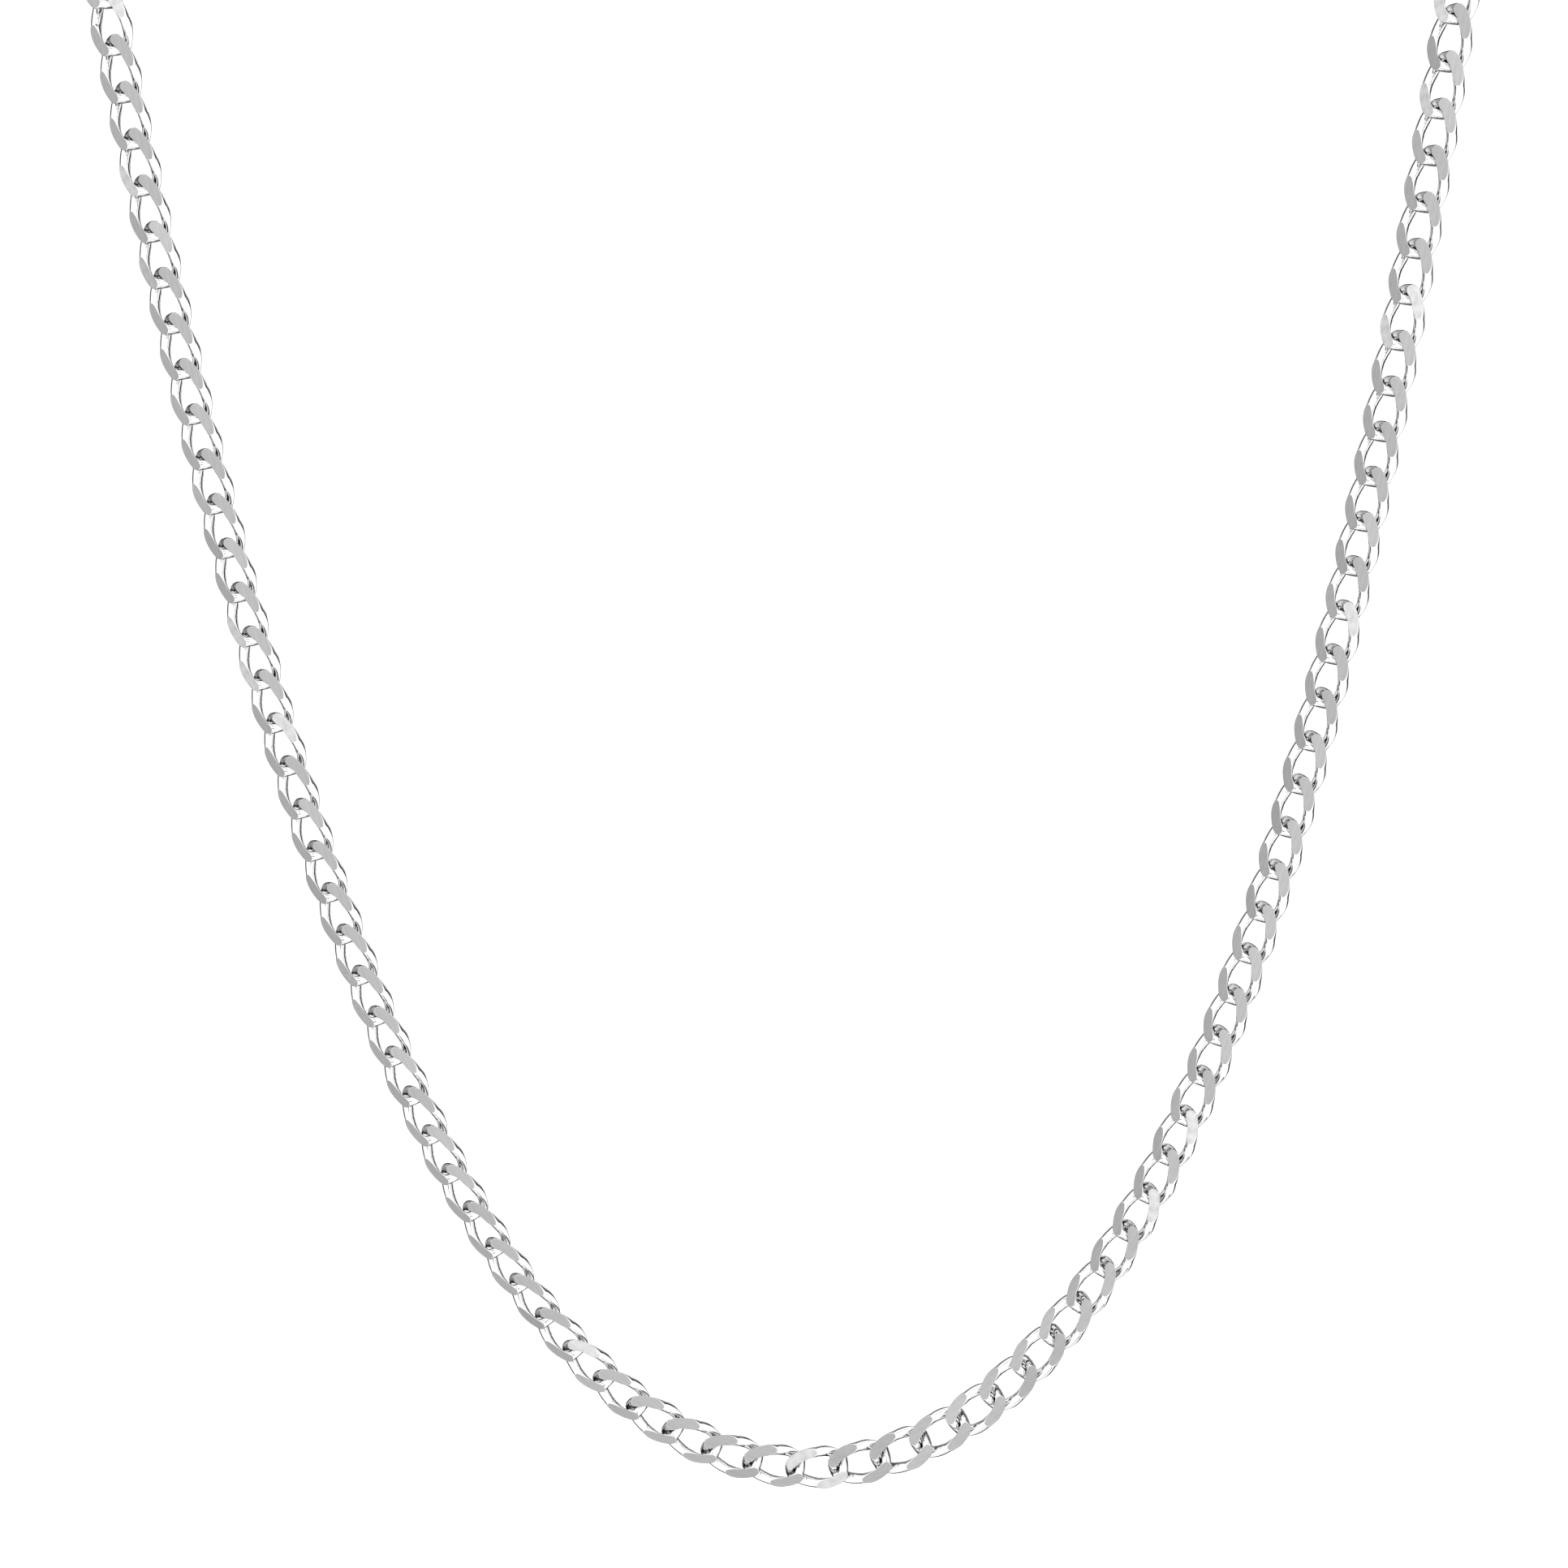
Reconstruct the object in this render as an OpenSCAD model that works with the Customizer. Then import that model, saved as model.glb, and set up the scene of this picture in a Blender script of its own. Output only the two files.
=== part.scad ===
// Curb chain necklace: a whole loop of ground and twisted oval links. It hangs in a free curve in front of
// the neck, bends back over both shoulders and closes behind the neck with a plain clasp between two
// soldered rings. Lengths are millimetres, angles degrees.
// The origin is the middle of the neck opening, at the level of the stretch that lies round the neck.
// The hanging strands face -Y, the nape is at +Y, and Z is up.

/* [Chain] */
// Length of the whole necklace along its middle, rounded down to whole links
necklace_length = 550; // [530:5:650]
// Pitch of the chain, from the middle of one link to the middle of the next
pitch = 4; // [3.9:0.05:4.4]
// Width of the chain across its links
chain_w = 4; // [3.9:0.05:4.4]
// Thickness of the chain between its ground faces, over the middle of the wire on a link's side
chain_t = 0.9; // [0.85:0.05:1.2]
// Diameter of the links' wire
wire_d = 0.9; // [0.8:0.05:1]
// Share by which the wire grows wider where it is pressed and ground to nothing
press_spread = 0.3; // [0:0.05:0.4]
// Slope of the ground faces down towards each edge of the chain
face_slope = 12; // [0:1:18]
// Play between two pieces that pull on each other
play = 0.14; // [0.12:0.02:0.3]
// Twist of each end of a link against its middle
end_twist = 40; // [38:1:44]
// Fullness of the link's oval, where 2 is an ellipse and more is squarer
oval_power = 3.2; // [2.6:0.1:3.4]

/* [Hang] */
// Radius of the free curve at its lowest point
bottom_r = 22; // [18:1:30]
// Radius of the bend over each shoulder
shoulder_r = 20; // [18:1:30]
// Straight stretch on each side between the shoulder and the curve round the nape
side_run = 3; // [1:1:15]
// Turn of the ground faces towards -X on the left strand
left_face_turn = 26; // [0:1:45]
// Turn of the ground faces towards -X on the right strand
right_face_turn = 39; // [0:1:45]
// Length of chain from the lowest point over which the faces take up that turn
face_turn_run = 32; // [24:2:60]

/* [Clasp] */
// Length of the clasp from the end of its eye to the end of its hook
clasp_l = 13; // [11:0.5:16]
// Width of the clasp across its hook
clasp_w = 5.4; // [5:0.1:6]
// Thickness of the clasp
clasp_t = 1.4; // [1.2:0.1:1.6]
// Diameter of the clasp's eye
eye_d = 3.4; // [3.2:0.1:3.8]
// Diameter of the hole in the eye
eye_hole_d = 1.7; // [1.6:0.05:1.8]
// Width of the metal round the hook's opening
hook_bar = 1.1; // [1:0.05:1.2]
// Length of the hook's opening
hook_gap_l = 5.4; // [4.8:0.1:6]
// Width of the hook's opening at its narrow end
hook_gap_narrow = 1.4; // [1:0.1:1.8]
// Diameter of the thumb nib on the clasp's side
nib_d = 1.6; // [1.2:0.1:1.8]
// Diameter of the soldered rings' wire
ring_wire_d = 0.7; // [0.6:0.05:0.75]
// Diameter of the soldered rings, measured to the middle of their wire
ring_d = 3.8; // [3.7:0.05:4.2]
// Turn of each soldered ring about the chain, towards the twist of the link that it holds
ring_turn = 12; // [8:1:18]

/* [Hidden] */
$fn = 48;

// The link: half sizes of its oval along the middle of the wire, and the wire's sections
wire_r = wire_d / 2;
link_half_l = (pitch + wire_d + play) / 2;
link_half_w = (chain_w - wire_d) / 2;
// How far out the wire's free sides are drawn, and how deep a face may cut it, as shares of its radius
free_share = 0.85;
deepest_share = -0.8;
free_half = acos(free_share);
// Where the wire's sections stand in a quarter of the oval, as shares of its half length
section_shares = [1, 0.95, 0.58, 0];
// Half of the step round the oval that gives the wire's direction
oval_step = 0.06;
// Flats that make up each round end of the clasp's outline
arc_steps = 16;

// The fastening: where its rings stand, and its reach from the nape's middle to the last link's middle
eye_bar = (eye_d - eye_hole_d) / 2;
grip_l = clasp_l - eye_bar - hook_bar;
ring_inner_r = (ring_d - ring_wire_d) / 2;
skew = clasp_t / 2 * tan(ring_turn);
skew_loss = eye_hole_d / 2 - sqrt(pow(eye_hole_d / 2, 2) - skew * skew);
ring_seat = sqrt(pow(ring_inner_r - play, 2) - pow(clasp_t / 2 / cos(ring_turn), 2)) - skew_loss;
ring_x = grip_l / 2 + ring_seat;
ring_to_link = (pitch - play - ring_wire_d + ring_d) / 2;
nape_run = ring_x + ring_to_link;

// The loop: as many whole links as its length holds, and the strands take what the neck leaves of it
links_a_side = floor((necklace_length / 2 - nape_run) / pitch);
half_loop = links_a_side * pitch + nape_run;
shoulder_arc = shoulder_r * PI / 2;
strand_l = solve_strand(0, half_loop, 40);
strand_end = hanging(strand_l);
shoulder_end = over_shoulder(shoulder_arc);
nape_r = shoulder_end[0][0] - nape_run;
nape_arc = nape_r * PI / 2;
// The point that becomes the origin
neck_middle = [0, shoulder_end[0][1] + side_run, shoulder_end[0][2]];

function unit(v) = v / norm(v);
function degrees_of(arc, r) = arc / r * 180 / PI;

// The length of one strand at which half the loop comes out right, found by halving
function half_loop_with(l) = let (
    end = hanging(l),
    side_x = end[0][0] + shoulder_r * end[1][0])
    l + shoulder_arc + side_run + (side_x - nape_run) * PI / 2 + nape_run;
function solve_strand(low, high, steps) = let (middle = (low + high) / 2)
    steps == 0 ? middle
    : half_loop_with(middle) > half_loop ? solve_strand(low, middle, steps - 1)
    : solve_strand(middle, high, steps - 1);

// The stretches of the right half of the route. Each gives [place, direction, way that the faces look] at a
// length l along it, with the lowest point of the necklace at zero.
function hanging(l) = let (slope = l / bottom_r)
    [[bottom_r * ln(slope + sqrt(slope * slope + 1)), 0, norm([bottom_r, l]) - bottom_r],
     unit([bottom_r, 0, l]),
     [0, -1, 0]];
function over_shoulder(l) = let (
    q = degrees_of(l, shoulder_r),
    up = strand_end[1])
    [strand_end[0] + shoulder_r * (sin(q) * up + (1 - cos(q)) * [0, 1, 0]),
     cos(q) * up + [0, sin(q), 0],
     sin(q) * up - [0, cos(q), 0]];
function beside_neck(l) =
    [shoulder_end[0] + [0, l, 0], [0, 1, 0], shoulder_end[2]];
function round_nape(l) = let (
    q = degrees_of(l, nape_r),
    lean = shoulder_end[2])
    [neck_middle + [nape_run + nape_r * cos(q), nape_r * sin(q), 0],
     [-sin(q), cos(q), 0],
     [lean[0] * cos(q), lean[0] * sin(q), lean[2]]];
function along_nape(l) = let (end = round_nape(nape_arc))
    [end[0] + l * end[1], end[1], end[2]];

function route(l) = let (
    shoulder = l - strand_l,
    side = shoulder - shoulder_arc,
    nape = side - side_run,
    last = nape - nape_arc)
    shoulder <= 0 ? hanging(l)
    : side <= 0 ? over_shoulder(shoulder)
    : nape <= 0 ? beside_neck(side)
    : last <= 0 ? round_nape(nape)
    : along_nape(last);

// The faces go from square at the lowest point to the strand's turn, and back to square over the shoulder
function face_turn(l, strand_turn) = lookup(l, [
    [0, 0],
    [face_turn_run, strand_turn],
    [strand_l, strand_turn],
    [strand_l + shoulder_arc, 0]]);

// A link's own axes on the route, on the right or mirrored to the left: [place, along, across, faces]
function link_axes(l, side, strand_turn) = let (
    at = route(l),
    place = flip(at[0] - neck_middle, side),
    along = flip(at[1], side),
    faces = flip(at[2], side),
    turn = face_turn(l, strand_turn),
    turned = cos(turn) * faces + sin(turn) * cross(faces, along))
    [place, along, cross(turned, along), turned];
function flip(v, side) = [side * v[0], v[1], v[2]];

// The middle line of a link's wire: an oval whose ends are twisted opposite ways out of its plane
function oval_point(t) = let (
    x = link_half_l * sign(cos(t)) * pow(abs(cos(t)), 2 / oval_power),
    y = link_half_w * sign(sin(t)) * pow(abs(sin(t)), 2 / oval_power),
    twist = -end_twist * x / link_half_l)
    [x, y * cos(twist), y * sin(twist)];

// How a ground face cuts the wire about one place: the cut's direction across the wire and half its angle
function ground_cut(middle, out, up, side) = let (
    slope = face_slope * max(-1, min(1, middle[1] / wire_r)),
    normal = [0, sin(slope), side * cos(slope)],
    reach = chain_t / 2 * cos(slope) + link_half_w * abs(sin(slope)),
    share = (reach - normal * middle) / (norm([normal * out, normal * up]) * wire_r))
    [atan2(normal * up, normal * out), acos(max(deepest_share, min(free_share, share)))];

// The five corners of the wire at one place round the oval: its two ground faces and its outer side
function wire_section(t) = let (
    middle = oval_point(t),
    along = unit(oval_point(t + oval_step) - oval_point(t - oval_step)),
    out = unit(cross(along, [0, 0, 1])),
    up = cross(out, along),
    top = ground_cut(middle, out, up, 1),
    bottom = ground_cut(middle, out, up, -1),
    top_outer = top[0] - top[1],
    bottom_outer = bottom[0] + bottom[1],
    pressed = (top[1] + bottom[1] - 2 * free_half) / 180,
    spread = 1 + press_spread * pressed)
    [for (turn = [
        top_outer,
        top[0] + top[1],
        bottom[0] - bottom[1],
        bottom_outer,
        (top_outer + bottom_outer) / 2])
        middle + wire_r * (spread * cos(turn) * out + sin(turn) * up)];

// All sections of one link, once round its oval, each where the oval has that share of its half length
quarter = [for (share = section_shares) acos(pow(share, oval_power / 2))];
turns = concat(
    [for (i = [0:3]) quarter[i]],
    [for (i = [2:-1:0]) 180 - quarter[i]],
    [for (i = [1:3]) 180 + quarter[i]],
    [for (i = [2:-1:1]) 360 - quarter[i]]);
link_sections = [for (t = turns) wire_section(t)];
corners = len(link_sections[0]);
link_corners = len(turns) * corners;

// A run of interlocked links, numbered from the one at the lowest point
module links(first, side, strand_turn) {
    count = links_a_side - first + 1;
    points = [for (i = [0:count - 1])
        let (axes = link_axes((first + i) * pitch, side, strand_turn))
        for (section = link_sections, p = section)
            axes[0] + p[0] * axes[1] + p[1] * axes[2] + p[2] * axes[3]];
    faces = [for (i = [0:count - 1], s = [0:len(turns) - 1], c = [0:corners - 1])
        let (
            start = i * link_corners,
            next_s = (s + 1) % len(turns),
            next_c = (c + 1) % corners,
            a = start + s * corners + c,
            b = start + s * corners + next_c,
            far_a = start + next_s * corners + c,
            far_b = start + next_s * corners + next_c)
        each [[a, b, far_b], [a, far_b, far_a]]];
    polyhedron(points, faces);
}

// A round end of a given size at each end, with straight flanks that run on from both
module tapered(r_wide, r_narrow, length) {
    lean = asin((r_wide - r_narrow) / length);
    polygon(concat(
        [for (i = [0:arc_steps]) r_wide * heading(90 - lean + i * (180 + 2 * lean) / arc_steps)],
        [for (i = [0:arc_steps])
            [length, 0] + r_narrow * heading(lean - 90 + i * (180 - 2 * lean) / arc_steps)]));
}
function heading(angle) = [cos(angle), sin(angle)];

// Puts its children at the middle of the nape, with Z the way that the ground faces look there
module at_nape() {
    end = along_nape(nape_run);
    translate(end[0] - neck_middle)
        rotate([-atan2(end[2][1], end[2][2]), 0, 0])
            children();
}

// A ring of round wire that stands on edge in the chain's line, on the side given
module soldered_ring(side) {
    at_nape() translate([side * ring_x, 0, 0])
        rotate([90 + side * ring_turn, 0, 0])
            rotate_extrude() translate([ring_d / 2, 0]) circle(d = ring_wire_d);
}

module chain_right() {
    color([0.78, 0.78, 0.79]) links(0, 1, right_face_turn);
}

module chain_left() {
    color([0.78, 0.78, 0.79]) links(1, -1, left_face_turn);
}

module clasp_ring() {
    color([0.8, 0.8, 0.81]) soldered_ring(1);
}

module catch_ring() {
    color([0.8, 0.8, 0.81]) soldered_ring(-1);
}

// The clasp: a tapered plate with the eye at its narrow end and the hook's opening at its wide end
module clasp() {
    gap_wide = clasp_w - 2 * hook_bar;
    hook_x = -grip_l / 2 + gap_wide / 2;
    eye_x = grip_l / 2 - eye_hole_d / 2;
    flank_lean = asin((clasp_w - eye_d) / 2 / (eye_x - hook_x));
    nib_x = hook_gap_l - gap_wide / 2;
    nib_y = (clasp_w / 2 - nib_x * sin(flank_lean)) / cos(flank_lean);
    color([0.76, 0.76, 0.77]) at_nape()
        translate([hook_x, 0, -clasp_t / 2]) linear_extrude(clasp_t) difference() {
            union() {
                tapered(clasp_w / 2, eye_d / 2, eye_x - hook_x);
                translate([nib_x, nib_y]) circle(d = nib_d);
            }
            tapered(gap_wide / 2, hook_gap_narrow / 2, hook_gap_l - (gap_wide + hook_gap_narrow) / 2);
            translate([eye_x - hook_x, 0]) circle(d = eye_hole_d);
        }
}

chain_left();
chain_right();
clasp_ring();
clasp();
catch_ring();
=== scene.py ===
"""Looks of a curb chain necklace: polished silver links with ground faces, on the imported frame's route."""

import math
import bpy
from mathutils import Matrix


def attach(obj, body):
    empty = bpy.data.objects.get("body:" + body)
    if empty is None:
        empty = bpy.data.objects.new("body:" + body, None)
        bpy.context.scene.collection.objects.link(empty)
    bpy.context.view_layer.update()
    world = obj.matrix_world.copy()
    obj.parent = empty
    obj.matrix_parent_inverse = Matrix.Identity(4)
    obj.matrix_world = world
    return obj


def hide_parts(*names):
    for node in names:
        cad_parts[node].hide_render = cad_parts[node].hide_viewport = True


bl_info = {
    "name": "Curb Chain Necklace",
    "version": (1, 0, 0),
    "blender": (4, 5, 0),
    "location": "3D View > Sidebar > Necklace",
    "description": "Lays the links, the soldered rings and the clasp of a curb chain necklace on its frame",
    "category": "Add Mesh",
}

import bmesh
import bpy
import numpy as np
from bpy.props import FloatProperty, FloatVectorProperty, IntProperty, PointerProperty
from bpy.types import Operator, Panel, PropertyGroup
from mathutils import Vector

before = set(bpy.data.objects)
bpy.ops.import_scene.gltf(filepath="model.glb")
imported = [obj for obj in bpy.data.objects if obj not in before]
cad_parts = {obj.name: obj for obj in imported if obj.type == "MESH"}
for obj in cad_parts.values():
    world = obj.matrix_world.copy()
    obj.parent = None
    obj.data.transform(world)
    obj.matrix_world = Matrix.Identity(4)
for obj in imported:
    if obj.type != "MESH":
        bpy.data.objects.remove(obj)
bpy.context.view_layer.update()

MM = 0.001

# Corners nearer than this are one corner, and so are those that agree in this many digits
WELD_DISTANCE = 1e-7
WELD_DIGITS = 7

# Places at which the oval's length is measured before the sections are shared out along it
OVAL_PLACES = 2001
# Least share of a ground flat that its burnished edges leave
LEAST_FLAT = 0.3
# How far past the wire's middle a ground face may cut, of the wire's radius
DEEPEST_CUT = 0.8

# Roughness of each buffed finish
BUFFED_ROUGHNESS = {"link_wire_silver": 0.07, "ring_silver": 0.08, "clasp_cast_silver": 0.12}
# Least and most roughness across a finish, as shares of its own
BUFFED_SPREAD = (0.8, 1.4)
GROUND_SPREAD = (0.75, 1.25)
# Brightness of a finish where it is darkest, as a share of its own
BUFFED_DARKEST = 0.96
GROUND_DARKEST = 0.74
# Scales of the noises that break up the surfaces, each finer the larger its number
BUFFED_CLOUDS = 900
BUFFED_LINES = 4000
BUFFED_WAVES = 700
GROUND_CLOUDS = 1500
GROUND_LINES = 5000
FLOOR_CLOUDS = 3
# The lines of grinding run along the link, so their noise is drawn out that way
GROUND_STRETCH = (0.06, 1, 1)
# Strength of the bumps that polishing and grinding leave, and depth of the lines of grinding
WAVE_STRENGTH = 0.35
LINE_STRENGTH = 0.25
LINE_DEPTH = 4e-6
# Share of a ground face's tone that its clouds give, the rest being its own
CLOUD_SHARE = 0.35
# Share of open view at which the painted shade in crevices is darkest and at which it ends, and rays that
# measure it
CREVICE_SHUT = 0.3
CREVICE_OPEN = 0.85
CREVICE_SAMPLES = 8
# The floor's darkest and lightest white, and its roughness
FLOOR_WHITES = (0.97, 0.99)
FLOOR_ROUGHNESS = 0.9

# The camera's sensor in millimetres, and the nearest thing that it sees
SENSOR_WIDTH = 36
CLIP_START = 10 * MM

# Dark places in the white tent that polished metal mirrors: how far their middle is to the right and above
# the front, half their width and half their height, all in degrees, and the share of light missing there
TENT_OPENINGS = {
    "lens": (0, 12, 7, 9, 0.97),
    "open back": (175, -14, 92, 92, 0.92),
    "left card": (-125, 0, 12, 70, 0.9),
    "right card": (106, 0, 12, 70, 0.9),
    "top seam": (0, 60, 70, 3, 0.9),
    "low seam": (0, -62, 60, 3, 0.9),
}
# The lit window in the open back: middle, half width and half height, in the same degrees
REAR_WINDOW = (180, -5, 50, 40)
# How far within and beyond its edge such a place fades, of its half size
TENT_SOFTNESS = 0.15


# Reading the frame


def corners_of(node):
    """A frame node's corners, with those that lie on each other merged, as one array."""
    corners = np.array([v.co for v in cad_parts[node].data.vertices])
    return np.unique(np.round(corners, WELD_DIGITS), axis=0)


def loose_solids(node):
    """The corners of each loose solid of a frame node, one array a solid."""
    shell = bmesh.new()
    shell.from_mesh(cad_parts[node].data)
    bmesh.ops.remove_doubles(shell, verts=shell.verts, dist=WELD_DISTANCE)
    seen = set()
    solids = []
    for start in shell.verts:
        if start in seen:
            continue
        seen.add(start)
        reached = [start]
        for vert in reached:
            for edge in vert.link_edges:
                other = edge.other_vert(vert)
                if other not in seen:
                    seen.add(other)
                    reached.append(other)
        solids.append(np.array([v.co for v in reached]))
    shell.free()
    return solids


def ring_measures(node):
    """Middle, axis, radius to the wire's middle and radius of the wire of a frame node that is a ring."""
    corners = corners_of(node)
    middle = (corners.min(axis=0) + corners.max(axis=0)) / 2
    axis = principal_axes(corners)[1][2]
    along = (corners - middle) @ axis
    away = np.linalg.norm(corners - middle - along[:, None] * axis, axis=1)
    wire_radius = np.abs(along).max()
    return middle, axis, away.max() - wire_radius, wire_radius


def principal_axes(corners):
    """The middle of some corners and the directions of their largest, second and smallest spread."""
    middle = corners.mean(axis=0)
    spread = np.cov((corners - middle).T)
    axes = np.linalg.eigh(spread)[1].T[::-1]
    return middle, axes


def link_places(node):
    """Middle, direction along the chain and direction of the ground faces for each link of a frame node."""
    found = [principal_axes(corners) for corners in loose_solids(node)]
    middles = np.array([middle for middle, axes in found])
    along = np.array([axes[0] for middle, axes in found])
    faces = np.array([axes[2] for middle, axes in found])
    return middles, along, faces


# Making the meshes


def add_piece(name, mesh, replaced):
    """Links a finished mesh into the scene as a piece that rides on the frame in place of a node."""
    piece = bpy.data.objects.new(name, mesh)
    bpy.context.scene.collection.objects.link(piece)
    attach(piece, "root")
    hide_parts(replaced)
    return piece


def wire_middle(turns, settings):
    """The middle line of a link's wire: a full oval whose two ends are twisted opposite ways."""
    half_length = (settings.pitch + settings.wire_diameter + settings.play) / 2
    half_width = (settings.chain_width - settings.wire_diameter) / 2
    roundness = 2 / settings.oval_power
    x = half_length * np.sign(np.cos(turns)) * np.abs(np.cos(turns)) ** roundness
    y = half_width * np.sign(np.sin(turns)) * np.abs(np.sin(turns)) ** roundness
    twist = -settings.end_twist * x / half_length
    return np.stack([x, y * np.cos(twist), y * np.sin(twist)], axis=-1)


def wire_frames(turns, settings):
    """The wire's middle line at some turns, with the level and the upward direction across it."""
    step = 1e-4
    middles = wire_middle(turns, settings)
    along = wire_middle(turns + step, settings) - wire_middle(turns - step, settings)
    along /= np.linalg.norm(along, axis=1)[:, None]
    level = np.cross(along, [0, 0, 1])
    level /= np.linalg.norm(level, axis=1)[:, None]
    return middles, level, np.cross(level, along)


def section_turns(settings):
    """Places of the sections round the oval: even along the wire, but closer where a flat widens fast."""
    fine = np.linspace(0, 2 * math.pi, OVAL_PLACES)
    middles, level, upward = wire_frames(fine, settings)
    steps = np.linalg.norm(np.diff(middles, axis=0), axis=1)
    for side in (1, -1):
        halves = [ground_cut(*place, side, settings)[0][1] for place in zip(middles, level, upward)]
        steps += settings.flat_weight * settings.wire_diameter / 2 * np.abs(np.diff(halves))
    length = np.concatenate([[0], np.cumsum(steps)])
    wanted = np.arange(settings.sections) / settings.sections * length[-1]
    return np.interp(wanted, length, fine)


def wire_outline(radius, cuts, edge, side_points):
    """Outline of the wire's section with two flats, each given by its direction and half its angle."""
    (top, top_half), (bottom, bottom_half) = cuts
    rounding = edge / radius

    def arc(start, end):
        return [(radius * math.cos(a), radius * math.sin(a)) for a in np.linspace(start, end, side_points)]

    def flat(direction, half):
        depth = radius * math.cos(half)
        reach = max(radius * math.sin(half) - edge, LEAST_FLAT * radius * math.sin(half))
        c, s = math.cos(direction), math.sin(direction)
        return [(depth * c + reach * s, depth * s - reach * c),
                (depth * c - reach * s, depth * s + reach * c)]

    outer = arc(bottom + bottom_half + rounding, top - top_half - rounding)
    inner = arc(top + top_half + rounding, bottom + 2 * math.pi - bottom_half - rounding)
    return outer + flat(top, top_half) + inner + flat(bottom, bottom_half)


def ground_cut(middle, out, up, side, settings):
    """Direction and half angle of the flat that a ground face leaves on the wire, and if it is real."""
    radius = settings.wire_diameter / 2
    half_width = (settings.chain_width - settings.wire_diameter) / 2
    slope = settings.face_slope * max(-1, min(1, 2 * middle[1] / settings.wire_diameter))
    normal = np.array([0, math.sin(slope), side * math.cos(slope)])
    reach = settings.thickness / 2 * math.cos(slope) + half_width * abs(math.sin(slope))
    in_section = np.array([normal @ out, normal @ up])
    share = (reach - normal @ middle) / (np.linalg.norm(in_section) * radius)
    widest = math.cos(settings.facet_end)
    direction = math.atan2(in_section[1], in_section[0])
    return (direction, math.acos(max(-DEEPEST_CUT, min(widest, share)))), share < widest


def ring_mesh(name, node, settings):
    """A round ring with the slight swelling where its ends are soldered, on the side away from the chain."""
    middle, axis, radius, wire_radius = ring_measures(node)
    seam = np.cross(axis, (1, 0, 0))
    seam /= np.linalg.norm(seam)
    across = np.cross(axis, seam)
    corners = []
    for turn in np.linspace(0, 2 * math.pi, settings.ring_sections, endpoint=False):
        outward = math.cos(turn) * seam + math.sin(turn) * across
        from_seam = min(turn, 2 * math.pi - turn) * radius / settings.solder_length
        swollen = wire_radius * (1 + settings.solder_swell * math.exp(-from_seam ** 2))
        for at in np.linspace(0, 2 * math.pi, settings.ring_sides, endpoint=False):
            from_wire = math.cos(at) * outward + math.sin(at) * axis
            corners.append(middle + radius * outward + swollen * from_wire)
    sections, sides = settings.ring_sections, settings.ring_sides
    quads = [(i * sides + k, i * sides + (k + 1) % sides,
              (i + 1) % sections * sides + (k + 1) % sides, (i + 1) % sections * sides + k)
             for i in range(sections) for k in range(sides)]
    mesh = bpy.data.meshes.new(name)
    mesh.from_pydata([tuple(c) for c in corners], [], quads)
    turn_outwards(mesh)
    mesh.shade_smooth()
    return mesh


def clasp_mesh(name, node, settings):
    """The frame's clasp with its edges rounded over, as casting and tumbling leave them."""
    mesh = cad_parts[node].data.copy()
    mesh.name = name
    mesh.materials.clear()
    turn_outwards(mesh)
    clasp = bpy.data.objects.new(name + "_blank", mesh)
    bpy.context.scene.collection.objects.link(clasp)
    remesh = clasp.modifiers.new("Even skin", "REMESH")
    remesh.mode = "VOXEL"
    remesh.voxel_size = settings.clasp_grain
    rounding = clasp.modifiers.new("Rounded edges", "SMOOTH")
    rounding.iterations = settings.clasp_rounding
    depsgraph = bpy.context.evaluated_depsgraph_get()
    finished = bpy.data.meshes.new_from_object(clasp.evaluated_get(depsgraph), depsgraph=depsgraph)
    bpy.data.objects.remove(clasp)
    finished.name = name
    finished.shade_smooth()
    return finished


def turn_outwards(mesh):
    """Merges corners that lie on each other and points every face outwards."""
    shape = bmesh.new()
    shape.from_mesh(mesh)
    bmesh.ops.remove_doubles(shape, verts=shape.verts, dist=WELD_DISTANCE)
    bmesh.ops.recalc_face_normals(shape, faces=shape.faces)
    shape.to_mesh(mesh)
    shape.free()


def link_mesh(settings):
    """One link about the origin, long in X, with its ground faces at the top and bottom of Z."""
    middles, level, upward = wire_frames(section_turns(settings), settings)
    corners = []
    cut = []
    for middle, out, up in zip(middles, level, upward):
        flats, real = zip(*(ground_cut(middle, out, up, side, settings) for side in (1, -1)))
        cut.append(real)
        pressed = sum(half for _, half in flats) / math.pi
        swell = 1 + settings.press_spread * pressed
        outline = wire_outline(
            settings.wire_diameter / 2, flats, settings.burnished_edge, settings.side_points)
        corners += [middle + x * swell * out + y * up for x, y in outline]
    around = 2 * settings.side_points + 4
    top_flat = settings.side_points
    bottom_flat = around - 2
    quads = []
    ground = []
    for i in range(settings.sections):
        j = (i + 1) % settings.sections
        for k in range(around):
            m = (k + 1) % around
            quads.append((i * around + k, j * around + k, j * around + m, i * around + m))
            ground.append((k == top_flat and cut[i][0] and cut[j][0])
                          or (k == bottom_flat and cut[i][1] and cut[j][1]))
    mesh = bpy.data.meshes.new("one_link")
    mesh.from_pydata([tuple(c) for c in corners], [], quads)
    shape = bmesh.new()
    shape.from_mesh(mesh)
    bmesh.ops.recalc_face_normals(shape, faces=shape.faces)
    shape.faces.ensure_lookup_table()
    for face, is_ground in zip(shape.faces, ground):
        face.smooth = not is_ground
    for edge in shape.edges:
        edge.smooth = len({ground[face.index] for face in edge.link_faces}) == 1
    shape.to_mesh(mesh)
    shape.free()
    mesh.attributes.new("ground", "BOOLEAN", "FACE").data.foreach_set("value", ground)
    place = mesh.attributes.new("link_place", "FLOAT_VECTOR", "POINT")
    place.data.foreach_set("vector", np.array(corners, np.float32).ravel())
    return mesh


# The chain's tree of Geometry Nodes


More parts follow.
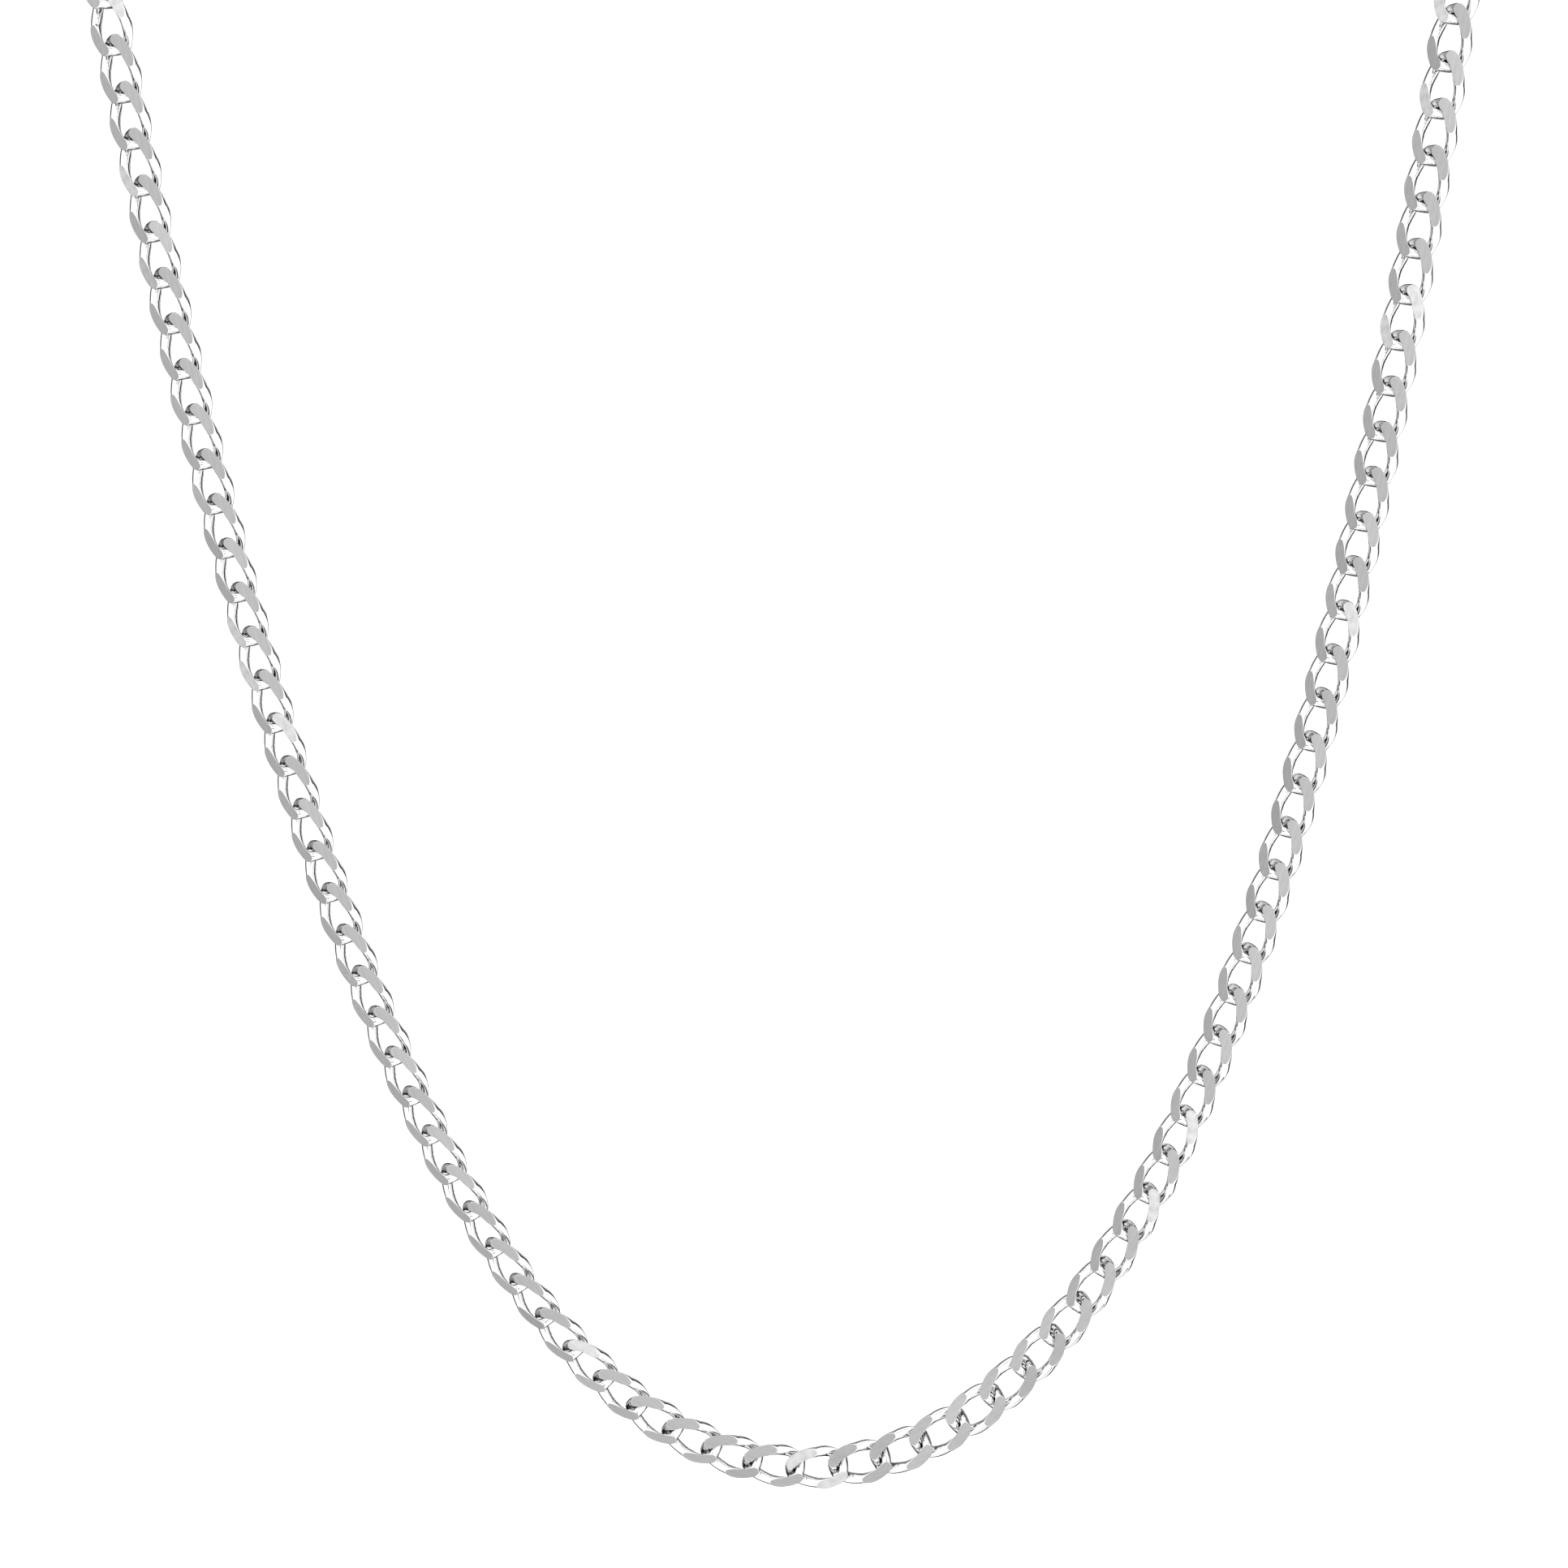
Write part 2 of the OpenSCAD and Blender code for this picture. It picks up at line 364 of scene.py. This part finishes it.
def add_socket(tree, name, kind, in_out="INPUT"):
    """Adds an input, or an output, to a tree."""
    return tree.interface.new_socket(name=name, in_out=in_out, socket_type=kind)


def named_attribute(tree, name, kind):
    """The output that gives an attribute of the geometry."""
    node = tree.nodes.new("GeometryNodeInputNamedAttribute")
    node.data_type = kind
    node.inputs["Name"].default_value = name
    return node.outputs["Attribute"]


def chain_tree():
    """Puts one link on each point of a route, turned a little in its neighbours, and sets the finishes."""
    tree = bpy.data.node_groups.new("Curb chain", "GeometryNodeTree")
    add_socket(tree, "Route", "NodeSocketGeometry")
    add_socket(tree, "Link", "NodeSocketObject")
    add_socket(tree, "Loose turn", "NodeSocketVector")
    add_socket(tree, "Seed", "NodeSocketInt")
    add_socket(tree, "Wire finish", "NodeSocketMaterial")
    add_socket(tree, "Ground finish", "NodeSocketMaterial")
    add_socket(tree, "Chain", "NodeSocketGeometry", "OUTPUT")
    nodes, links = tree.nodes, tree.links
    given = nodes.new("NodeGroupInput").outputs
    result = nodes.new("NodeGroupOutput")

    facing = nodes.new("FunctionNodeAxesToRotation")
    facing.primary_axis = "X"
    facing.secondary_axis = "Z"
    links.new(named_attribute(tree, "along", "FLOAT_VECTOR"), facing.inputs["Primary Axis"])
    links.new(named_attribute(tree, "faces", "FLOAT_VECTOR"), facing.inputs["Secondary Axis"])

    least = nodes.new("ShaderNodeVectorMath")
    least.operation = "SCALE"
    least.inputs["Scale"].default_value = -1
    links.new(given["Loose turn"], least.inputs[0])
    turn = nodes.new("FunctionNodeRandomValue")
    turn.data_type = "FLOAT_VECTOR"
    links.new(least.outputs["Vector"], turn.inputs["Min"])
    links.new(given["Loose turn"], turn.inputs["Max"])
    links.new(given["Seed"], turn.inputs["Seed"])
    turn_by = nodes.new("FunctionNodeEulerToRotation")
    links.new(turn.outputs["Value"], turn_by.inputs[0])
    turned = nodes.new("FunctionNodeRotateRotation")
    turned.rotation_space = "LOCAL"
    links.new(facing.outputs["Rotation"], turned.inputs["Rotation"])
    links.new(turn_by.outputs["Rotation"], turned.inputs["Rotate By"])

    link_shape = nodes.new("GeometryNodeObjectInfo")
    links.new(given["Link"], link_shape.inputs["Object"])
    placed = nodes.new("GeometryNodeInstanceOnPoints")
    links.new(given["Route"], placed.inputs["Points"])
    links.new(link_shape.outputs["Geometry"], placed.inputs["Instance"])
    links.new(turned.outputs["Rotation"], placed.inputs["Rotation"])

    tone = nodes.new("FunctionNodeRandomValue")
    tone.data_type = "FLOAT"
    links.new(given["Seed"], tone.inputs["Seed"])
    toned = nodes.new("GeometryNodeStoreNamedAttribute")
    toned.data_type = "FLOAT"
    toned.domain = "INSTANCE"
    toned.inputs["Name"].default_value = "link_tone"
    links.new(placed.outputs["Instances"], toned.inputs["Geometry"])
    number = next(output for output in tone.outputs if output.enabled)
    links.new(number, toned.inputs["Value"])

    real = nodes.new("GeometryNodeRealizeInstances")
    links.new(toned.outputs["Geometry"], real.inputs["Geometry"])
    wire_set = nodes.new("GeometryNodeSetMaterial")
    links.new(real.outputs["Geometry"], wire_set.inputs["Geometry"])
    links.new(given["Wire finish"], wire_set.inputs["Material"])
    ground_set = nodes.new("GeometryNodeSetMaterial")
    links.new(wire_set.outputs["Geometry"], ground_set.inputs["Geometry"])
    links.new(named_attribute(tree, "ground", "BOOLEAN"), ground_set.inputs["Selection"])
    links.new(given["Ground finish"], ground_set.inputs["Material"])
    links.new(ground_set.outputs["Geometry"], result.inputs["Chain"])
    return tree


def set_input(modifier, name, value):
    """Sets a modifier's input by the identifier that the socket of that name has."""
    for item in modifier.node_group.interface.items_tree:
        if item.item_type == "SOCKET" and item.in_out == "INPUT" and item.name == name:
            modifier[item.identifier] = value
            return
    raise ValueError(f"the tree has no input named {name}")


def route_object(name, node):
    """An object with one point for each link of a frame node, which knows how that link lies."""
    middles, along, faces = link_places(node)
    mesh = bpy.data.meshes.new(name)
    mesh.from_pydata([tuple(p) for p in middles], [], [])
    mesh.attributes.new("along", "FLOAT_VECTOR", "POINT").data.foreach_set("vector", along.ravel())
    mesh.attributes.new("faces", "FLOAT_VECTOR", "POINT").data.foreach_set("vector", faces.ravel())
    route = bpy.data.objects.new(name, mesh)
    bpy.context.scene.collection.objects.link(route)
    return route


def laid_chain(name, node, link, tree, settings, seed):
    """Runs the chain's tree on a frame node's route and returns the plain mesh that it gives."""
    route = route_object(name + "_route", node)
    modifier = route.modifiers.new("Curb chain", "NODES")
    modifier.node_group = tree
    set_input(modifier, "Link", link)
    set_input(modifier, "Loose turn", [settings.loose_turn] * 3)
    set_input(modifier, "Seed", seed)
    set_input(modifier, "Wire finish", polished_silver("link_wire_silver"))
    set_input(modifier, "Ground finish", ground_silver())
    depsgraph = bpy.context.evaluated_depsgraph_get()
    mesh = bpy.data.meshes.new_from_object(route.evaluated_get(depsgraph), depsgraph=depsgraph)
    route.modifiers.remove(modifier)
    bpy.data.objects.remove(route)
    if len(mesh.polygons) < len(loose_solids(node)):
        raise RuntimeError(f"the tree laid no links for {node}")
    mesh.name = name
    return mesh


# Finishes


def new_material(name):
    """A material and its tree, or no tree where the material has been made before."""
    material = bpy.data.materials.get(name)
    if material:
        return material, None
    material = bpy.data.materials.new(name)
    material.use_nodes = True
    return material, material.node_tree


class NodeMath:
    """Short calls for the arithmetic of a tree's shader nodes."""

    def __init__(self, tree):
        self.tree = tree

    def __call__(self, operation, *values):
        node = self.tree.nodes.new("ShaderNodeMath")
        node.operation = operation
        for socket, value in zip(node.inputs, values):
            if isinstance(value, (int, float)):
                socket.default_value = value
            else:
                self.tree.links.new(value, socket)
        return node.outputs[0]


def scaled_noise(tree, scale, stretch=(1, 1, 1), detail=2.0, source="Object"):
    """Noise on object coordinates, or on a link's own, stretched along its axes."""
    if source == "Object":
        place = tree.nodes.new("ShaderNodeTexCoord").outputs["Object"]
    else:
        attribute = tree.nodes.new("ShaderNodeAttribute")
        attribute.attribute_name = source
        place = attribute.outputs["Vector"]
    mapping = tree.nodes.new("ShaderNodeMapping")
    mapping.inputs["Scale"].default_value = stretch
    tree.links.new(place, mapping.inputs["Vector"])
    noise = tree.nodes.new("ShaderNodeTexNoise")
    noise.inputs["Scale"].default_value = scale
    noise.inputs["Detail"].default_value = detail
    tree.links.new(mapping.outputs["Vector"], noise.inputs["Vector"])
    return noise.outputs["Fac"]


def ranged(tree, value, low, high, start=0.3, end=0.7):
    """Runs from low to high while a value runs from start to end, by default a noise's usual range."""
    node = tree.nodes.new("ShaderNodeMapRange")
    node.inputs["From Min"].default_value = start
    node.inputs["From Max"].default_value = end
    node.inputs["To Min"].default_value = low
    node.inputs["To Max"].default_value = high
    tree.links.new(value, node.inputs["Value"])
    return node.outputs["Result"]


def bumped(tree, height, strength, distance):
    """The normal of a surface that a height raises by up to a distance."""
    node = tree.nodes.new("ShaderNodeBump")
    node.inputs["Strength"].default_value = strength
    node.inputs["Distance"].default_value = distance
    tree.links.new(height, node.inputs["Height"])
    return node.outputs["Normal"]


def grey_mix(tree, factor, dark, light):
    """The dark colour where the factor is 0 and the light one where it is 1."""
    ramp = tree.nodes.new("ShaderNodeValToRGB")
    ramp.color_ramp.elements[0].color = (*dark, 1)
    ramp.color_ramp.elements[1].color = (*light, 1)
    tree.links.new(factor, ramp.inputs["Fac"])
    return ramp.outputs["Color"]


def mixed(tree, factor, colour, other):
    """The first colour where the factor is 0 and the other, a plain one, where it is 1."""
    mix = tree.nodes.new("ShaderNodeMix")
    mix.data_type = "RGBA"
    tree.links.new(factor, mix.inputs["Factor"])
    tree.links.new(colour, mix.inputs["A"])
    mix.inputs["B"].default_value = (*other, 1)
    return mix.outputs["Result"]


def with_painted_crevice_shade(tree, colour, finish):
    """A colour darkened where two links lie close: painted shade in the crevices between links."""
    # Painted shade: the less open view a point has, the darker its colour.
    open_share = tree.nodes.new("ShaderNodeAmbientOcclusion")
    open_share.samples = CREVICE_SAMPLES
    open_share.inputs["Distance"].default_value = finish.crevice_width
    shut = ranged(tree, open_share.outputs["AO"], 1, 0, CREVICE_SHUT, CREVICE_OPEN)
    return mixed(tree, shut, colour, finish.painted_crevice_shade)


def polished_silver(name):
    """Buffed silver: near-white metal with faint polishing lines and a slightly uneven gloss."""
    material, tree = new_material(name)
    if tree is None:
        return material
    finish = bpy.context.scene.necklace_finish
    shader = tree.nodes["Principled BSDF"]
    shader.inputs["Metallic"].default_value = 1
    # Painted shade: a near-black specular tint darkens the silver seen edge on, which draws dark outlines
    # round the wires.
    shader.inputs["Specular Tint"].default_value = (*finish.painted_edge_darkening, 1)
    cloud = scaled_noise(tree, BUFFED_CLOUDS, detail=3)
    dark = tuple(c * BUFFED_DARKEST for c in finish.silver)
    unshaded = grey_mix(tree, cloud, dark, tuple(finish.silver))
    # Painted shade darkens this colour in the crevices between links.
    tree.links.new(with_painted_crevice_shade(tree, unshaded, finish), shader.inputs["Base Color"])
    lines = scaled_noise(tree, BUFFED_LINES, detail=4)
    least, most = (BUFFED_ROUGHNESS[name] * share for share in BUFFED_SPREAD)
    tree.links.new(ranged(tree, lines, least, most), shader.inputs["Roughness"])
    wave = scaled_noise(tree, BUFFED_WAVES, detail=1)
    tree.links.new(bumped(tree, wave, WAVE_STRENGTH, finish.polish_wave), shader.inputs["Normal"])
    return material


def ground_silver():
    """Ground face: greyer, satin, with fine lines along it, a tone of its own and, on a few, a glare."""
    material, tree = new_material("link_ground_silver")
    if tree is None:
        return material
    finish = bpy.context.scene.necklace_finish
    shader = tree.nodes["Principled BSDF"]
    shader.inputs["Metallic"].default_value = 1
    calc = NodeMath(tree)
    link_tone = tree.nodes.new("ShaderNodeAttribute")
    link_tone.attribute_name = "link_tone"
    place = tree.nodes.new("ShaderNodeAttribute")
    place.attribute_name = "link_place"
    parts = tree.nodes.new("ShaderNodeSeparateXYZ")
    tree.links.new(place.outputs["Vector"], parts.inputs[0])
    which = tree.nodes.new("ShaderNodeCombineXYZ")
    tree.links.new(link_tone.outputs["Fac"], which.inputs["X"])
    tree.links.new(calc("SIGN", parts.outputs["Y"]), which.inputs["Y"])
    own = tree.nodes.new("ShaderNodeTexWhiteNoise")
    tree.links.new(which.outputs["Vector"], own.inputs["Vector"])
    cloud = scaled_noise(tree, GROUND_CLOUDS, detail=3, source="link_place")
    blend = calc("MULTIPLY_ADD", cloud, CLOUD_SHARE, calc("MULTIPLY", own.outputs["Value"], 1 - CLOUD_SHARE))
    caught = calc("GREATER_THAN", own.outputs["Value"], 1 - finish.glare_share)
    glare = calc("MULTIPLY", caught, calc("MULTIPLY", cloud, finish.glare))
    light = tuple(finish.ground)
    dark = tuple(c * GROUND_DARKEST for c in light)
    satin = grey_mix(tree, blend, dark, light)
    tree.links.new(mixed(tree, glare, satin, finish.silver), shader.inputs["Base Color"])
    lines = scaled_noise(tree, GROUND_LINES, stretch=GROUND_STRETCH, detail=3, source="link_place")
    least, most = (finish.ground_roughness * share for share in GROUND_SPREAD)
    tree.links.new(ranged(tree, lines, least, most), shader.inputs["Roughness"])
    tree.links.new(bumped(tree, lines, LINE_STRENGTH, LINE_DEPTH), shader.inputs["Normal"])
    return material


def floor_white(glow):
    """Matt white of the floor, which gives some light of its own."""
    material, tree = new_material("floor_white")
    if tree is None:
        return material
    shader = tree.nodes["Principled BSDF"]
    shader.inputs["Roughness"].default_value = FLOOR_ROUGHNESS
    shader.inputs["Specular IOR Level"].default_value = 0
    dark, light = ((white,) * 3 for white in FLOOR_WHITES)
    shade = scaled_noise(tree, FLOOR_CLOUDS)
    tree.links.new(grey_mix(tree, shade, dark, light), shader.inputs["Base Color"])
    shader.inputs["Emission Color"].default_value = (1, 1, 1, 1)
    shader.inputs["Emission Strength"].default_value = glow
    return material


# Sizes and colours


class NecklaceLinkSettings(PropertyGroup):
    """Sizes of the chain's links."""

    pitch: FloatProperty(
        name="Pitch", description="Length of chain that each link adds", default=4 * MM,
        unit="LENGTH", precision=5)
    chain_width: FloatProperty(
        name="Width", description="Width of the chain before its wire is pressed wider", default=3.9 * MM,
        unit="LENGTH", precision=5)
    thickness: FloatProperty(
        name="Thickness", description="Thickness between the ground faces", default=0.9 * MM, unit="LENGTH",
        precision=5)
    wire_diameter: FloatProperty(
        name="Wire", description="Diameter of the links' wire", default=0.9 * MM, unit="LENGTH", precision=5)
    play: FloatProperty(
        name="Play", description="Play between two links", default=0.04 * MM, unit="LENGTH", precision=5)
    end_twist: FloatProperty(
        name="Twist", description="Twist of a link's ends against its middle", default=math.radians(40),
        subtype="ANGLE")
    oval_power: FloatProperty(
        name="Fullness", description="Fullness of the link's oval, 2 being an ellipse", default=3.2)
    press_spread: FloatProperty(
        name="Press spread", description="How much wider the wire is where it was pressed flat", default=0.3)
    burnished_edge: FloatProperty(
        name="Burnished edge", description="Width of the rounded edge round a ground face", default=0.02 * MM,
        unit="LENGTH", precision=6)
    face_slope: FloatProperty(
        name="Face slope", description="How far a ground face slopes towards the chain's edge",
        default=math.radians(12), subtype="ANGLE")
    flat_weight: FloatProperty(
        name="Flat weight", description="How much closer the sections stand where a ground face widens",
        default=1.5)
    facet_end: FloatProperty(
        name="Facet end", description="Half angle of wire at which a ground face ends",
        default=math.radians(5), subtype="ANGLE")
    loose_turn: FloatProperty(
        name="Loose turn", description="Most that a link lies turned in its neighbours",
        default=math.radians(0.8), subtype="ANGLE")
    sections: IntProperty(name="Sections", description="Sections round a link", default=80)
    side_points: IntProperty(
        name="Side points", description="Points on each round side of the wire", default=7)


class NecklaceFasteningSettings(PropertyGroup):
    """Shape of the rings and the clasp beyond what the frame gives."""

    solder_swell: FloatProperty(
        name="Solder swell", description="Share by which a ring is thicker where it is soldered",
        default=0.06)
    solder_length: FloatProperty(
        name="Solder length", description="Half the length of ring that the solder covers", default=0.35 * MM,
        unit="LENGTH", precision=5)
    ring_sections: IntProperty(name="Ring sections", description="Sections round a ring", default=96)
    ring_sides: IntProperty(name="Ring sides", description="Sides of a ring's wire", default=24)
    clasp_grain: FloatProperty(
        name="Clasp grain", description="Size of the faces of the clasp's skin", default=0.06 * MM,
        unit="LENGTH", precision=5)
    clasp_rounding: IntProperty(
        name="Clasp rounding", description="Rounds of smoothing that wear the clasp's edges", default=10)


class NecklaceFinishSettings(PropertyGroup):
    """Colours and finish of the silver, with the painted shade in its crevices and along its edges."""

    silver: FloatVectorProperty(
        name="Silver", description="Colour of polished silver", default=(0.93, 0.93, 0.935), subtype="COLOR")
    ground: FloatVectorProperty(
        name="Ground silver", description="Colour of a ground face at its lightest",
        default=(0.55, 0.55, 0.553), subtype="COLOR")
    # Painted shade: near-black tint of the grazing reflection, which draws the wires' dark outlines.
    painted_edge_darkening: FloatVectorProperty(
        name="Edge tint", description="Colour of polished silver seen edge on", default=(0.05, 0.05, 0.05),
        subtype="COLOR")
    # Painted shade: the dark colour that the silver is given in the crevices between links.
    painted_crevice_shade: FloatVectorProperty(
        name="Crevice", description="Colour of the silver in the crevices between two links",
        default=(0.15, 0.15, 0.15), subtype="COLOR")
    # Reach of the painted crevice shade: links nearer than this darken each other.
    crevice_width: FloatProperty(
        name="Crevice width", description="How far apart two links are where the silver stays clean",
        default=0.2 * MM, unit="LENGTH", precision=5)
    glare: FloatProperty(
        name="Glare", description="How far a ground face that catches light turns white, before its clouds",
        default=1.0)
    glare_share: FloatProperty(
        name="Glare share", description="Share of the ground faces that catch the light", default=0.1)
    ground_roughness: FloatProperty(
        name="Ground roughness", description="Roughness of a ground face, of 1", default=0.45)
    polish_wave: FloatProperty(
        name="Polish wave", description="Depth of the unevenness that hand polishing leaves", default=8e-6,
        unit="LENGTH", precision=6)


class NecklaceStageSettings(PropertyGroup):
    """Camera, floor and light."""

    camera_offset: FloatVectorProperty(
        name="Camera place", description="Camera, measured from the necklace's lowest link",
        default=(-0.00156, -0.26349, 0.10458), subtype="TRANSLATION", precision=5)
    camera_tilt: FloatProperty(
        name="Camera tilt", description="How far the camera looks down", default=math.radians(8.751),
        subtype="ANGLE")
    camera_roll: FloatProperty(
        name="Camera roll", description="Turn of the camera about its view", default=math.radians(1.3195),
        subtype="ANGLE")
    camera_yaw: FloatProperty(
        name="Camera yaw", description="Turn of the camera about the vertical", default=math.radians(-0.2031),
        subtype="ANGLE")
    lens: FloatProperty(name="Lens", description="Focal length in millimetres", default=68.54)
    floor_drop: FloatProperty(
        name="Floor", description="Height of the lowest link above the floor", default=0.12, unit="LENGTH")
    floor_size: FloatProperty(name="Floor size", description="Side of the floor", default=1.2, unit="LENGTH")
    floor_glow: FloatProperty(
        name="Floor glow", description="Light that the floor gives of its own, as one lit from below",
        default=0.4)
    rear_window: FloatProperty(
        name="Rear window", description="Brightness of the window in the tent's open back, of the tent's own",
        default=0.9)
    tent_light: FloatProperty(name="Tent light", description="Brightness of the white tent", default=1.25)


# Pieces


class NECKLACE_OT_links(Operator):
    """Lay the polished links of both halves of the chain on the frame's route"""

    bl_idname = "necklace.links"
    bl_label = "Lay links"

    def execute(self, context):
        settings = context.scene.necklace_links
        link = bpy.data.objects.new("one_link", link_mesh(settings))
        tree = chain_tree()
        for seed, (piece, node) in enumerate((("links_left", "chain_left"), ("links_right", "chain_right"))):
            mesh = laid_chain(piece, node, link, tree, settings, seed)
            add_piece(piece, mesh, node)
        bpy.data.objects.remove(link)
        return {"FINISHED"}


class NECKLACE_OT_rings(Operator):
    """Make the two soldered rings that join the chain to its clasp"""

    bl_idname = "necklace.rings"
    bl_label = "Make soldered rings"

    def execute(self, context):
        settings = context.scene.necklace_fastening
        for piece, node in (("ring_of_clasp", "clasp_ring"), ("ring_of_catch", "catch_ring")):
            mesh = ring_mesh(piece, node, settings)
            mesh.materials.append(polished_silver("ring_silver"))
            add_piece(piece, mesh, node)
        return {"FINISHED"}


class NECKLACE_OT_clasp(Operator):
    """Make the lobster clasp"""

    bl_idname = "necklace.clasp"
    bl_label = "Make clasp"

    def execute(self, context):
        mesh = clasp_mesh("lobster_clasp", "clasp", context.scene.necklace_fastening)
        mesh.materials.append(polished_silver("clasp_cast_silver"))
        add_piece("lobster_clasp", mesh, "clasp")
        return {"FINISHED"}


class NECKLACE_OT_stage(Operator):
    """Set the camera, the pale floor and the soft light"""

    bl_idname = "necklace.stage"
    bl_label = "Set stage"

    def execute(self, context):
        stage = context.scene.necklace_stage
        lowest = min(link_places("chain_right")[0], key=lambda middle: middle[2])
        add_camera(stage, Vector(lowest))
        add_floor(stage, Vector(lowest))
        add_tent(stage)
        context.scene.view_settings.view_transform = "Standard"
        return {"FINISHED"}


def add_camera(stage, lowest):
    """The camera, at its place from the necklace's lowest link."""
    camera = bpy.data.objects.new("camera", bpy.data.cameras.new("camera"))
    bpy.context.scene.collection.objects.link(camera)
    camera.location = lowest + Vector(stage.camera_offset)
    camera.rotation_euler = (math.pi / 2 - stage.camera_tilt, stage.camera_roll, stage.camera_yaw)
    camera.data.lens = stage.lens
    camera.data.sensor_width = SENSOR_WIDTH
    camera.data.clip_start = CLIP_START
    bpy.context.scene.camera = camera


def add_floor(stage, lowest):
    """The pale floor below the necklace, which its metal doesn't mirror."""
    half = stage.floor_size / 2
    level = lowest[2] - stage.floor_drop
    mesh = bpy.data.meshes.new("floor")
    mesh.from_pydata([(-half, -half, level), (half, -half, level), (half, half, level), (-half, half, level)],
                     [], [(0, 1, 2, 3)])
    floor = bpy.data.objects.new("floor", mesh)
    bpy.context.scene.collection.objects.link(floor)
    mesh.materials.append(floor_white(stage.floor_glow))
    floor.visible_glossy = False


def within_edge(tree, away):
    """1 within a place whose edge is 1 away, and 0 beyond it, with a soft fall between."""
    node = tree.nodes.new("ShaderNodeMapRange")
    node.interpolation_type = "SMOOTHSTEP"
    node.inputs["From Min"].default_value = 1 - TENT_SOFTNESS
    node.inputs["From Max"].default_value = 1 + TENT_SOFTNESS
    node.inputs["To Min"].default_value = 1
    node.inputs["To Max"].default_value = 0
    tree.links.new(away, node.inputs["Value"])
    return node.outputs["Result"]


def add_tent(stage):
    """White light from all round, with dark openings, cards and seams, and a lit window in its open back."""
    world = bpy.data.worlds.new("tent")
    bpy.context.scene.world = world
    world.use_nodes = True
    tree = world.node_tree
    nodes, links = tree.nodes, tree.links
    calc = NodeMath(tree)
    parts = nodes.new("ShaderNodeSeparateXYZ")
    links.new(nodes.new("ShaderNodeTexCoord").outputs["Generated"], parts.inputs[0])
    x, y, z = parts.outputs
    azimuth = calc("DEGREES", calc("ARCTAN2", x, calc("MULTIPLY", y, -1)))
    height = calc("DEGREES", calc("ARCSINE", z))

    def within(to_right, up, half_width, half_height):
        """1 where the tent is within an oval place, and 0 beyond it."""
        across = calc("ABSOLUTE", calc("WRAP", calc("SUBTRACT", azimuth, to_right), 180, -180))
        above = calc("SUBTRACT", height, up)
        away = calc("SQRT", calc("ADD", calc("POWER", calc("DIVIDE", across, half_width), 2),
                                 calc("POWER", calc("DIVIDE", above, half_height), 2)))
        return within_edge(tree, away)

    light = 1.0
    for *place, share in TENT_OPENINGS.values():
        light = calc("MULTIPLY", light, calc("SUBTRACT", 1, calc("MULTIPLY", within(*place), share)))
    light = calc("MAXIMUM", light, calc("MULTIPLY", within(*REAR_WINDOW), stage.rear_window))
    light = calc("MULTIPLY", light, stage.tent_light)
    seen = nodes.new("ShaderNodeLightPath").outputs["Is Camera Ray"]
    background = nodes["Background"]
    background.inputs["Color"].default_value = (1, 1, 1, 1)
    links.new(calc("MAXIMUM", light, seen), background.inputs["Strength"])


class NECKLACE_PT_sidebar(Panel):
    """Lists the necklace's pieces and sizes"""

    bl_idname = "NECKLACE_PT_sidebar"
    bl_label = "Curb chain necklace"
    bl_space_type = "VIEW_3D"
    bl_region_type = "UI"
    bl_category = "Necklace"

    def draw(self, context):
        scene = context.scene
        for title, settings, operators in (
            ("Links", scene.necklace_links, (NECKLACE_OT_links,)),
            ("Fastening", scene.necklace_fastening, (NECKLACE_OT_rings, NECKLACE_OT_clasp)),
            ("Finish", scene.necklace_finish, ()),
            ("Stage", scene.necklace_stage, (NECKLACE_OT_stage,)),
        ):
            box = self.layout.box()
            box.label(text=title)
            for name in settings.bl_rna.properties.keys():
                if name not in ("rna_type", "name"):
                    box.prop(settings, name)
            for operator in operators:
                box.operator(operator.bl_idname)


CLASSES = (
    NecklaceLinkSettings,
    NecklaceFasteningSettings,
    NecklaceFinishSettings,
    NecklaceStageSettings,
    NECKLACE_OT_links,
    NECKLACE_OT_rings,
    NECKLACE_OT_clasp,
    NECKLACE_OT_stage,
    NECKLACE_PT_sidebar,
)


def register():
    """Registers the classes and hangs the settings on the scene."""
    for cls in CLASSES:
        bpy.utils.register_class(cls)
    bpy.types.Scene.necklace_links = PointerProperty(type=NecklaceLinkSettings)
    bpy.types.Scene.necklace_fastening = PointerProperty(type=NecklaceFasteningSettings)
    bpy.types.Scene.necklace_finish = PointerProperty(type=NecklaceFinishSettings)
    bpy.types.Scene.necklace_stage = PointerProperty(type=NecklaceStageSettings)


def unregister():
    """Takes away what register has added."""
    del bpy.types.Scene.necklace_stage
    del bpy.types.Scene.necklace_finish
    del bpy.types.Scene.necklace_fastening
    del bpy.types.Scene.necklace_links
    for cls in reversed(CLASSES):
        bpy.utils.unregister_class(cls)


def main():
    """Makes the necklace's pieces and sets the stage."""
    register()
    bpy.ops.necklace.links()
    bpy.ops.necklace.rings()
    bpy.ops.necklace.clasp()
    bpy.ops.necklace.stage()


if __name__ == "__main__":
    main()
